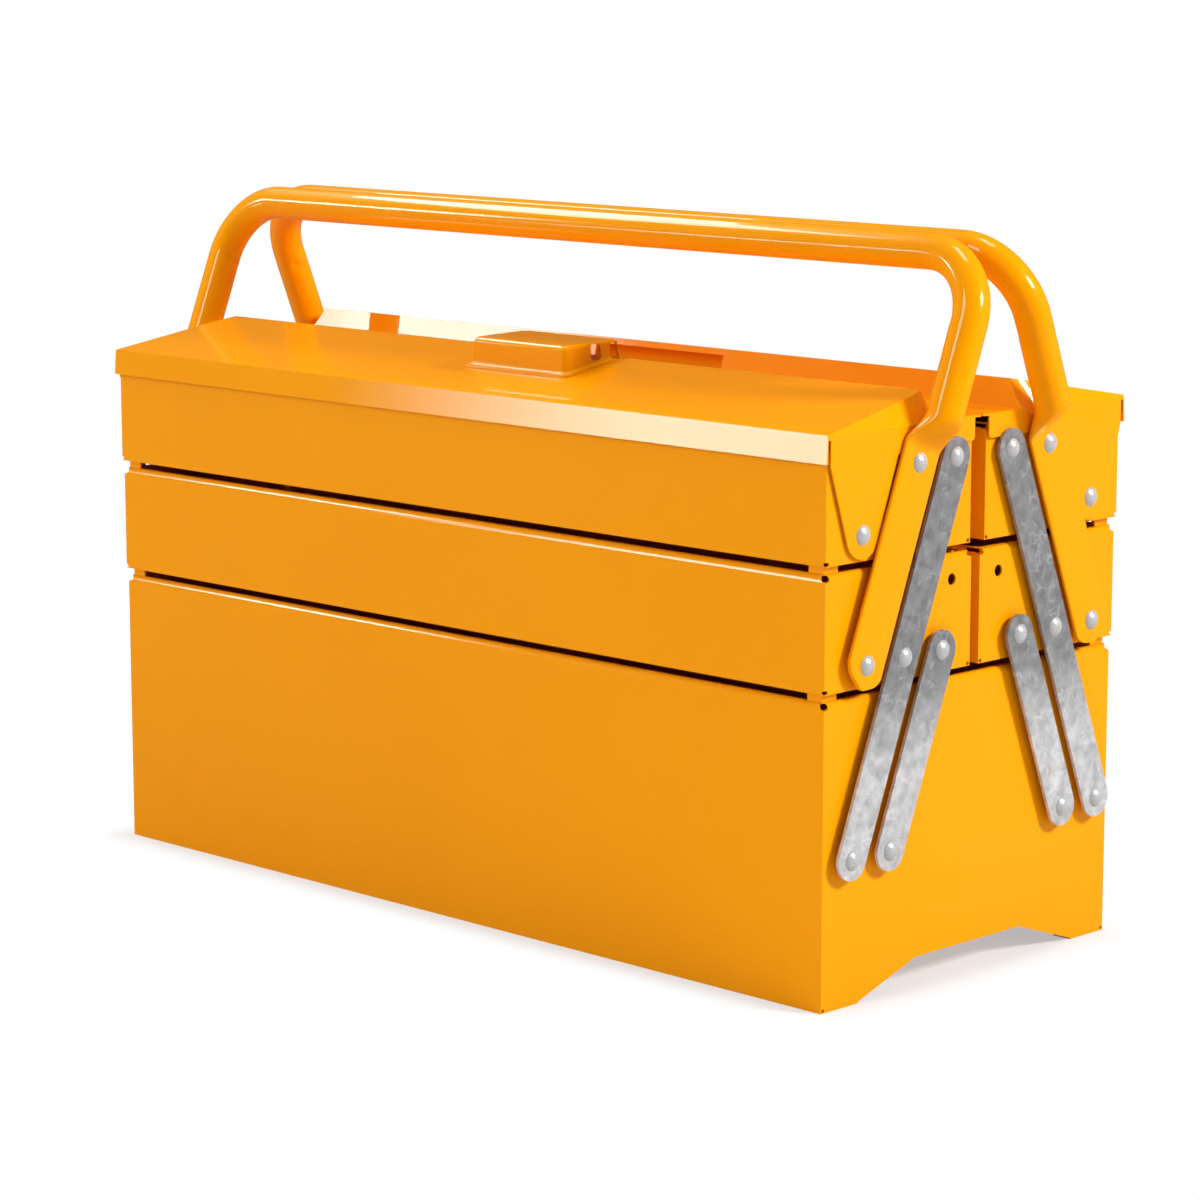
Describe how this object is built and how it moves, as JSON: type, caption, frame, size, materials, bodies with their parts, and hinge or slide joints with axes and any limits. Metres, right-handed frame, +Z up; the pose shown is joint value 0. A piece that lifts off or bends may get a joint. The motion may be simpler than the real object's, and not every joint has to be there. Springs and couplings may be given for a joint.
{
  "type": "cantilever tool box",
  "caption": "Painted sheet steel tool box with swinging trays on riveted levers, two hinged lids, a hasp and paired carrying handles.",
  "frame": {"origin": "middle of the box at the height of the ground it stands on", "axes": "+X along the length towards the right-hand end, +Z up; the front, with the hasp's lid, faces -Y"},
  "size_m": [0.5176, 0.2072, 0.3324],
  "materials": {
    "paint": "glossy yellow-orange powder coat",
    "zinc": "galvanised, with a mottled spangle",
    "rivet": "bright zinc-plated domed rivet"
  },
  "bodies": {
    "base": {"base_walls": "paint", "base_ends": "paint", "base_floor": "paint", "front_rivets_base_long": "rivet", "front_rivets_base_short": "rivet", "rear_rivets_base_long": "rivet", "rear_rivets_base_short": "rivet"},
    "front_long_levers": {"front_long_lever_right": "zinc", "front_long_lever_left": "zinc"},
    "front_short_levers": {"front_short_lever_right": "zinc", "front_short_lever_left": "zinc"},
    "front_middle": {"front_middle_walls": "paint", "front_middle_ends": "paint", "front_middle_floor": "paint", "front_rivets_middle_long": "rivet", "front_rivets_middle_short": "rivet", "front_rivets_middle_handle": "rivet"},
    "front_top": {"front_top_walls": "paint", "front_top_ends": "paint", "front_top_floor": "paint", "front_rivets_top_long": "rivet", "front_rivets_top_handle": "rivet", "front_rivets_lid": "rivet"},
    "front_carry_handle": {"front_handle": "paint"},
    "front_cover": {"front_lid": "paint", "hasp_cover": "paint"},
    "rear_long_levers": {"rear_long_lever_right": "zinc", "rear_long_lever_left": "zinc"},
    "rear_short_levers": {"rear_short_lever_right": "zinc", "rear_short_lever_left": "zinc"},
    "rear_middle": {"rear_middle_walls": "paint", "rear_middle_ends": "paint", "rear_middle_floor": "paint", "rear_rivets_middle_long": "rivet", "rear_rivets_middle_short": "rivet", "rear_rivets_middle_handle": "rivet"},
    "rear_top": {"rear_top_walls": "paint", "rear_top_ends": "paint", "rear_top_floor": "paint", "rear_rivets_top_long": "rivet", "rear_rivets_top_handle": "rivet", "rear_rivets_lid": "rivet"},
    "rear_carry_handle": {"rear_handle": "paint"},
    "rear_cover": {"rear_lid": "paint"}
  },
  "joints": [
    {"name": "front_open", "type": "hinge", "parent": "base", "child": "front_long_levers", "pos_m": [0, -0.086, 0.0668], "axis": [1, 0, 0], "range_deg": [0, 42.9]},
    {"name": "front_short_lever_swing", "type": "hinge", "parent": "base", "child": "front_short_levers", "pos_m": [0, -0.0606, 0.0668], "axis": [1, 0, 0], "range_deg": [0, 42.9]},
    {"name": "front_middle_tray_level", "type": "hinge", "parent": "front_long_levers", "child": "front_middle", "pos_m": [0, -0.0527, 0.1516], "axis": [1, 0, 0], "range_deg": [-42.9, 0]},
    {"name": "front_top_tray_level", "type": "hinge", "parent": "front_long_levers", "child": "front_top", "pos_m": [0, -0.0194, 0.2364], "axis": [1, 0, 0], "range_deg": [-42.9, 0]},
    {"name": "front_handle_swing", "type": "hinge", "parent": "front_middle", "child": "front_carry_handle", "pos_m": [0, -0.0786, 0.1516], "axis": [1, 0, 0], "range_deg": [0, 42.9]},
    {"name": "front_lid_open", "type": "hinge", "parent": "front_top", "child": "front_cover", "pos_m": [0, -0.0794, 0.2081], "axis": [1, 0, 0], "range_deg": [0, 100]},
    {"name": "rear_open", "type": "hinge", "parent": "base", "child": "rear_long_levers", "pos_m": [0, 0.086, 0.0668], "axis": [-1, 0, 0], "range_deg": [0, 42.9]},
    {"name": "rear_short_lever_swing", "type": "hinge", "parent": "base", "child": "rear_short_levers", "pos_m": [0, 0.0606, 0.0668], "axis": [-1, 0, 0], "range_deg": [0, 42.9]},
    {"name": "rear_middle_tray_level", "type": "hinge", "parent": "rear_long_levers", "child": "rear_middle", "pos_m": [0, 0.0527, 0.1516], "axis": [-1, 0, 0], "range_deg": [-42.9, 0]},
    {"name": "rear_top_tray_level", "type": "hinge", "parent": "rear_long_levers", "child": "rear_top", "pos_m": [0, 0.0194, 0.2364], "axis": [-1, 0, 0], "range_deg": [-42.9, 0]},
    {"name": "rear_handle_swing", "type": "hinge", "parent": "rear_middle", "child": "rear_carry_handle", "pos_m": [0, 0.0786, 0.1516], "axis": [-1, 0, 0], "range_deg": [0, 42.9]},
    {"name": "rear_lid_open", "type": "hinge", "parent": "rear_top", "child": "rear_cover", "pos_m": [0, 0.0794, 0.2081], "axis": [-1, 0, 0], "range_deg": [0, 100]}
  ],
  "couplings": [
    {"joint": "front_short_lever_swing", "follows": "front_open", "ratio": 1},
    {"joint": "front_middle_tray_level", "follows": "front_open", "ratio": -1},
    {"joint": "front_top_tray_level", "follows": "front_open", "ratio": -1},
    {"joint": "front_handle_swing", "follows": "front_open", "ratio": 1},
    {"joint": "rear_short_lever_swing", "follows": "rear_open", "ratio": 1},
    {"joint": "rear_middle_tray_level", "follows": "rear_open", "ratio": -1},
    {"joint": "rear_top_tray_level", "follows": "rear_open", "ratio": -1},
    {"joint": "rear_handle_swing", "follows": "rear_open", "ratio": 1}
  ]
}
